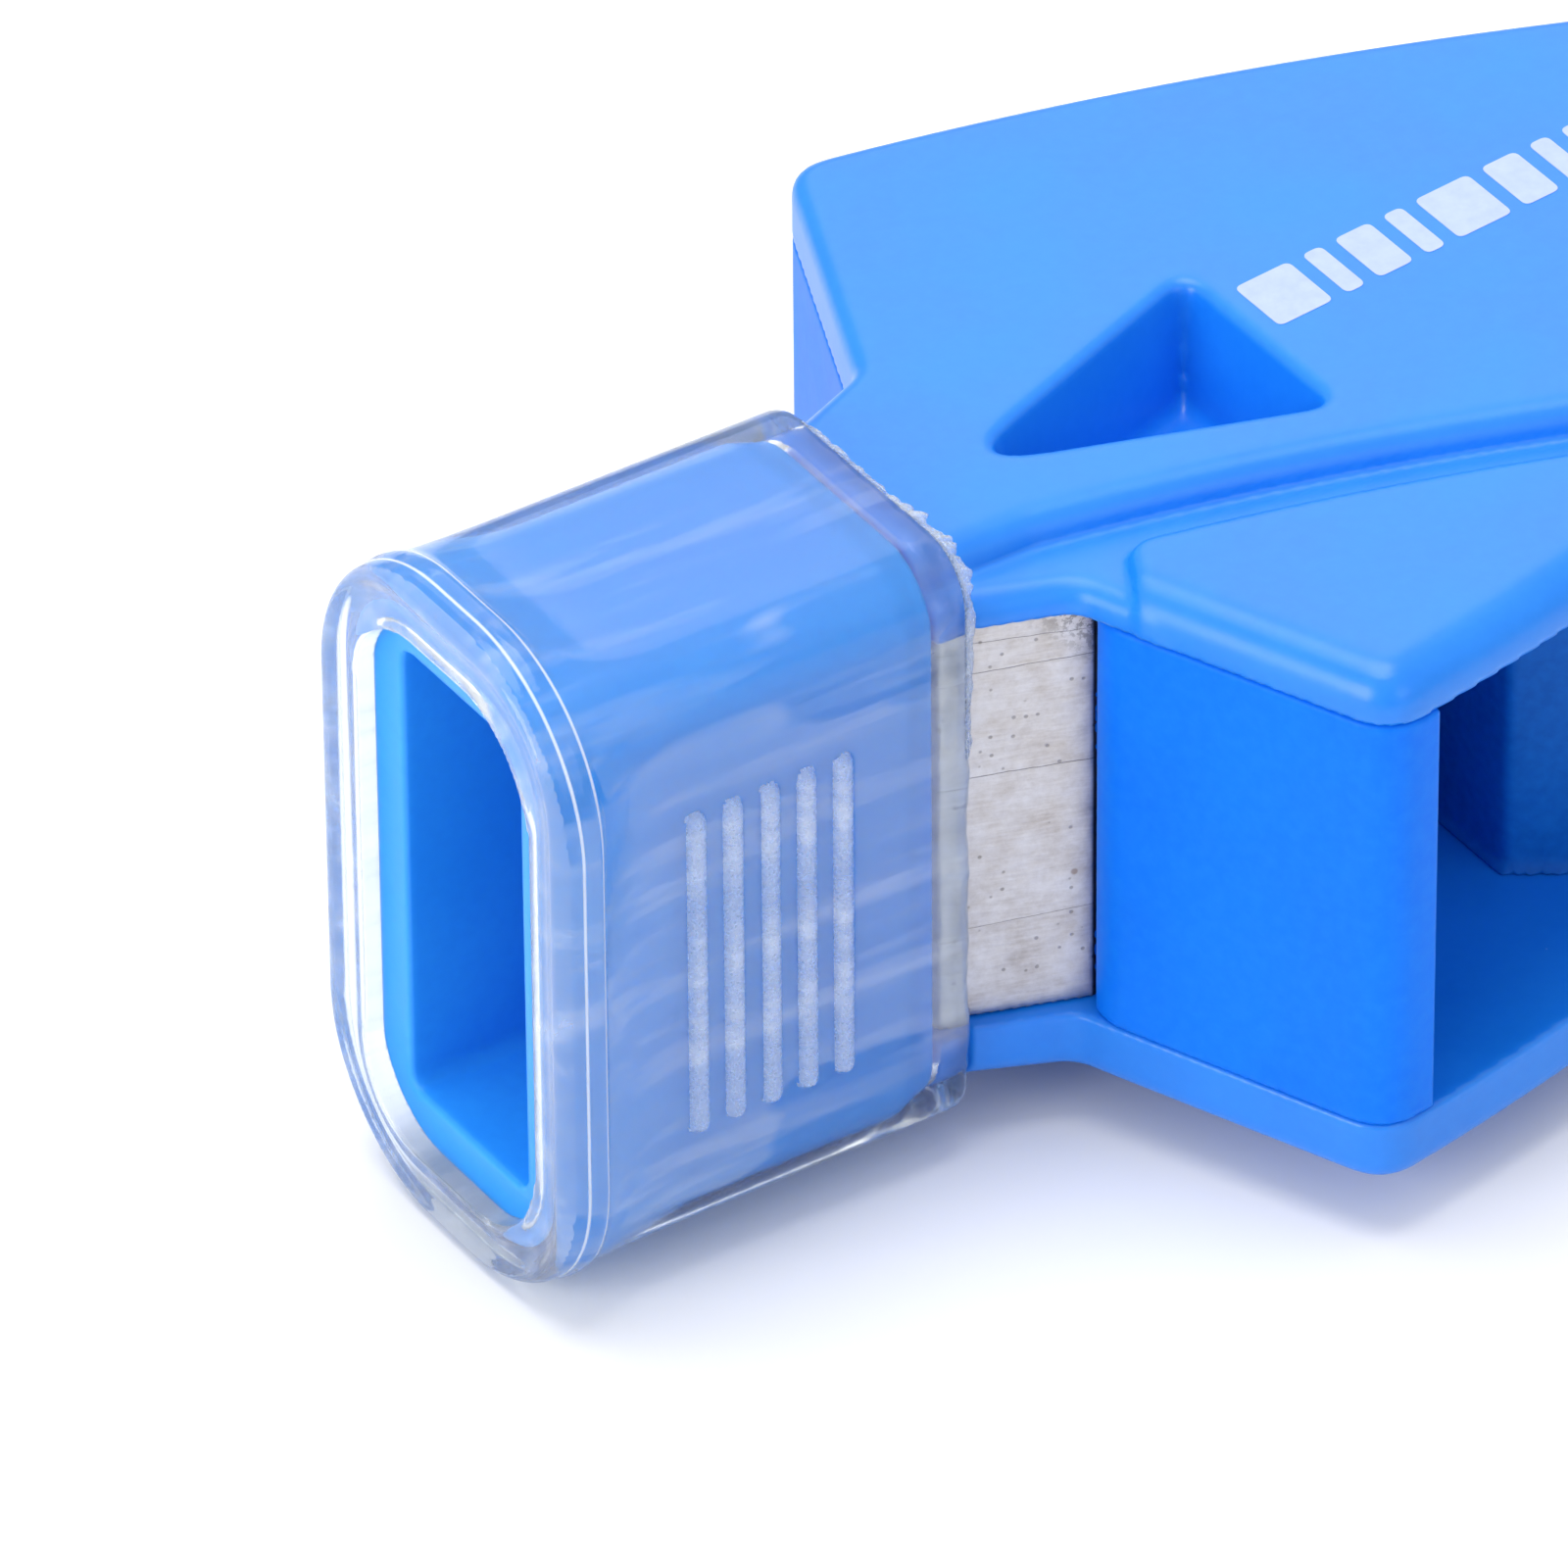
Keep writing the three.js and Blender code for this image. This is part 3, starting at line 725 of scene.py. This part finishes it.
def flash_pieces():
    """Torn flash along the grip's rear edge, from the far top round the near top corner."""
    start_y, end_z, inset, r = 3.2, 3.0, 0.12, 1.68
    root, tip, least = 0.30, 0.45, 0.25
    rng = np.random.default_rng(11)
    half_y, half_z = GRIP[0] - inset, GRIP[1] - inset
    path = [(y, half_z) for y in np.linspace(start_y, -(half_y - r), 60)]
    turn = np.linspace(0.05, 1.52, 30)
    path += [(-(half_y - r) - r * math.sin(a), half_z - r + r * math.cos(a)) for a in turn]
    path += [(-half_y, z) for z in np.linspace(half_z - r, end_z, 26)]
    vertices, faces = [], []
    count = len(path)
    window = 7
    wander = np.convolve(rng.random(count + window - 1), np.ones(window) / window, "valid") - 0.5
    for i, (y, z) in enumerate(path):
        t = i / (count - 1)
        tear = math.exp(-(((t - 0.52) / 0.15) ** 2))  # widest just past the middle
        width = 0.12 + 0.5 * tear + 0.12 * rng.random() ** 4
        width *= max(least, 0.9 + 3.4 * wander[i])
        sink = 0.16 * rng.random()
        inward = np.array([y, z]) / math.hypot(y, z)
        low_y, low_z = np.array([y, z]) - inward * (0.12 + sink)
        far_y, far_z = np.array([y, z]) - inward * (0.30 + sink)
        vertices += [
            (GRIP_X[1] - root, y, z),
            (GRIP_X[1] + tip * width, low_y, low_z),
            (GRIP_X[1] + width, far_y, far_z),
        ]
    for i in range(count - 1):
        for j in range(2):
            a = 3 * i + j
            faces.append((a, a + 1, a + 4, a + 3))
    return np.array(vertices), faces


def solidify(piece, thickness, rounds=1):
    modifier = piece.modifiers.new("thickness", "SOLIDIFY")
    modifier.thickness = thickness
    modifier.offset = 0
    modifier = piece.modifiers.new("round", "SUBSURF")
    modifier.levels = modifier.render_levels = rounds


def bar_mark():
    """Generic mark in place of the printed one: a row of plain slanted bars."""
    start, direction = np.array([7.0, 0.45]), np.array([0.9949, 0.1010])
    up = np.array([0.0, 1.0])
    widths = (2.0, 0.7, 1.3, 0.7, 2.0, 1.3, 0.7, 2.0, 0.7)
    tall, gap, r = 2.25, 0.5, 0.25
    low, high = RAISED_Z - 0.01, RAISED_Z + 0.018
    vertices, faces, at = [], [], 0.0
    for width in widths:
        corners = [(at, 0.0, r), (at + width, 0.0, r), (at + width, tall, r), (at, tall, r)]
        outline = [start + direction * p[0] + up * p[1] for p in rounded_polygon(corners, 6)]
        n, base = len(outline), len(vertices)
        vertices += [(*p, low) for p in outline] + [(*p, high) for p in outline]
        faces.append(tuple(base + n + i for i in range(n)))
        faces.append(tuple(base + i for i in reversed(range(n))))
        for i in range(n):
            after = (i + 1) % n
            faces.append((base + i, base + after, base + n + after, base + n + i))
        at += width + gap
    return np.array(vertices), faces


def moulded(name, field_of, low, high, step, body, slot, look, node_name, twin=None):
    vertices, faces = surface(field_of, low, high, step)
    piece = mesh_object(name, vertices, faces, body, slot, look, (node_name,))
    if twin:
        mesh_object(twin[0], turned_over(vertices), faces, body, slot, look, (twin[1],))
    return piece


def face_values(piece, what):
    """One (x, y, z) row for each face of a piece: its "center" or its "normal"."""
    values = np.empty(len(piece.data.polygons) * 3)
    piece.data.polygons.foreach_get(what, values)
    return values.reshape(-1, 3)


def set_face_looks(piece, looks, index):
    """Adds looks after the piece's first one, and gives each face the look with its index."""
    for look in looks:
        piece.data.materials.append(look)
    piece.data.polygons.foreach_set("material_index", index.astype(np.int32))


def grip_looks(piece):
    """Gives the side ribs a frosted look and the rim's front a milkier one, face by face."""
    x, y = (face_values(piece, "center") / MM - SHIFT).T[:2]
    centres = RIBS["first"] + RIBS["pitch"] * np.arange(RIBS["count"])
    near = np.abs(x[:, None] - centres[None, :]).min(1) < RIBS["half"] * 0.95
    rib = near & (np.abs(y) > GRIP[0] + 0.05)
    rim = (x < GRIP_X[0] + 0.8) & (face_values(piece, "normal")[:, 0] < -0.45)
    set_face_looks(piece, (RIB_LOOK, RIM_LOOK), np.where(rim, 2, rib))


def core_looks(piece):
    """Gives the core's outer flanks the shells' look, and leaves the faces in the horns' throats in
    the darker blue that paints their shade.
    """
    x = face_values(piece, "center")[:, 0] / MM - SHIFT[0]
    set_face_looks(piece, (SHELL_LOOK,), x > CORE_FLARE_X)


moulded(
    "top_shell_moulding", shell_field, (-8.6, -15.6, -0.5), (32.6, 15.6, 9.4), FINE,
    BODY, "blue_plastic", SHELL_LOOK, "top_shell",
    twin=("bottom_shell_moulding", "bottom_shell"),
)
moulded(
    "near_horn_wall_moulding", wall_field, (-4.2, -15.6, -7.5), (3.2, -4.6, 7.5), WALL_STEP,
    BODY, "blue_plastic", SHADED_WALL_LOOK, "near_horn_wall",
    twin=("far_horn_wall_moulding", "far_horn_wall"),
)
core = moulded(
    "rear_core_moulding", core_field, (9.2, -13.0, -7.5), (32.6, 13.0, 7.5), CORE_STEP,
    BODY, "blue_plastic", SHADED_INNER_LOOK, "rear_core",
)
core_looks(core)
moulded(
    "mouthpiece_tube_moulding", tube_field, (-21.3, -4.8, -9.4), (-7.5, 4.8, 9.4), FINE,
    BODY, "blue_plastic", LIT_TUBE_LOOK, "mouthpiece_tube",
)
moulded(
    "near_plate_sheet", plate_field, (-8.1, -6.0, -7.3), (-2.4, -2.9, 7.3), PLATE_STEP,
    BODY, "steel", STEEL_LOOK, "near_steel_plate",
    twin=("far_plate_sheet", "far_steel_plate"),
)
grip = moulded(
    "silicone_grip", grip_field, (-22.1, -7.0, -11.5), (-6.3, 7.0, 11.5), GRIP_STEP,
    GRIP_BODY, "silicone", SILICONE_LOOK, "mouth_grip",
)
grip_looks(grip)
flash = mesh_object("grip_edge_flash", *flash_pieces(), GRIP_BODY, "silicone", TORN_LOOK)
solidify(flash, FLASH_THICKNESS)
mark = mesh_object("bar_mark_print", *bar_mark(), BODY, "blue_plastic", PRINT_LOOK)
mark.data.polygons.foreach_set("use_smooth", [False] * len(mark.data.polygons))

# ---------------------------------------------------------------- floor, light, camera
floor_mesh = bpy.data.meshes.new("floor")
FLOOR_HALF, FLOOR_BITS = 1.5, 8
ticks = np.linspace(-FLOOR_HALF, FLOOR_HALF, FLOOR_BITS + 1)
floor_vertices = [(float(u), float(v), 0.0) for u in ticks for v in ticks]
row = FLOOR_BITS + 1
floor_faces = [(i * row + j, (i + 1) * row + j, (i + 1) * row + j + 1, i * row + j + 1)
               for i in range(FLOOR_BITS) for j in range(FLOOR_BITS)]
floor_mesh.from_pydata(floor_vertices, [], floor_faces)
floor_mesh.materials.append(floor_material("pale_floor"))
floor = bpy.data.objects.new("floor", floor_mesh)
bpy.context.scene.collection.objects.link(floor)


def soft_light(name, place, target, size, power):
    data = bpy.data.lights.new(name, "AREA")
    data.shape, data.size, data.energy = "DISK", size, power
    light = bpy.data.objects.new(name, data)
    light.visible_camera = False
    light.location = place
    light.rotation_euler = (Vector(target) - Vector(place)).to_track_quat("-Z", "Y").to_euler()
    bpy.context.scene.collection.objects.link(light)


AIM = (0, 0, 0.01)
soft_light("overhead", (-0.05, 0.10, 0.75), AIM, size=0.60, power=3.45)
soft_light("behind", (0.36, 0.56, 0.52), AIM, size=0.50, power=0.7)
soft_light("from_left", (-0.62, -0.06, 0.26), AIM, size=0.35, power=1.8)
soft_light("from_front", (0.10, -0.60, 0.30), AIM, size=0.35, power=0.35)

world = bpy.data.worlds.new("studio")
world.use_nodes = True
sky = world.node_tree
sky_parts = sky.nodes.new("ShaderNodeSeparateXYZ")
sky.links.new(sky.nodes.new("ShaderNodeTexCoord").outputs["Generated"], sky_parts.inputs["Vector"])
glow = ramp(sky, sky_parts.outputs["Z"], -0.1, 0.7, 0.45, 0.85)
sky.links.new(glow, sky.nodes["Background"].inputs["Strength"])
sky.nodes["Background"].inputs["Color"].default_value = (1.0, 1.0, 1.0, 1)
bpy.context.scene.world = world
bpy.context.scene.view_settings.view_transform = "Standard"

# Camera fitted to the photograph: heading, tilt and roll in degrees, then place in millimetres.
HEADING, TILT, ROLL = (math.radians(v) for v in (56.658, 36.619, -0.539))
SIDEWAYS, UPWARDS, DISTANCE, FOCAL_PX, PHOTO_PX = -8.391, -3.155, 496.4, 18000, 1600
SENSOR_MM = 36
level, drop = math.cos(TILT), math.sin(TILT)
forward = Vector((math.cos(HEADING) * level, math.sin(HEADING) * level, -drop))
flat_right = Vector((math.sin(HEADING), -math.cos(HEADING), 0))
flat_up = Vector((math.cos(HEADING) * drop, math.sin(HEADING) * drop, level))
right = flat_right * math.cos(ROLL) + flat_up * math.sin(ROLL)
up = flat_up * math.cos(ROLL) - flat_right * math.sin(ROLL)
place = (right * SIDEWAYS + up * UPWARDS - forward * DISTANCE + Vector(SHIFT)) * MM
camera_data = bpy.data.cameras.new("camera")
camera_data.sensor_width = SENSOR_MM
camera_data.lens = SENSOR_MM * FOCAL_PX / PHOTO_PX
camera_data.clip_start, camera_data.clip_end = 0.05, 20
camera = bpy.data.objects.new("camera", camera_data)
bpy.context.scene.collection.objects.link(camera)
basis = [[right[i], up[i], -forward[i], place[i]] for i in range(3)] + [[0, 0, 0, 1]]
camera.matrix_world = Matrix(basis)
bpy.context.scene.camera = camera
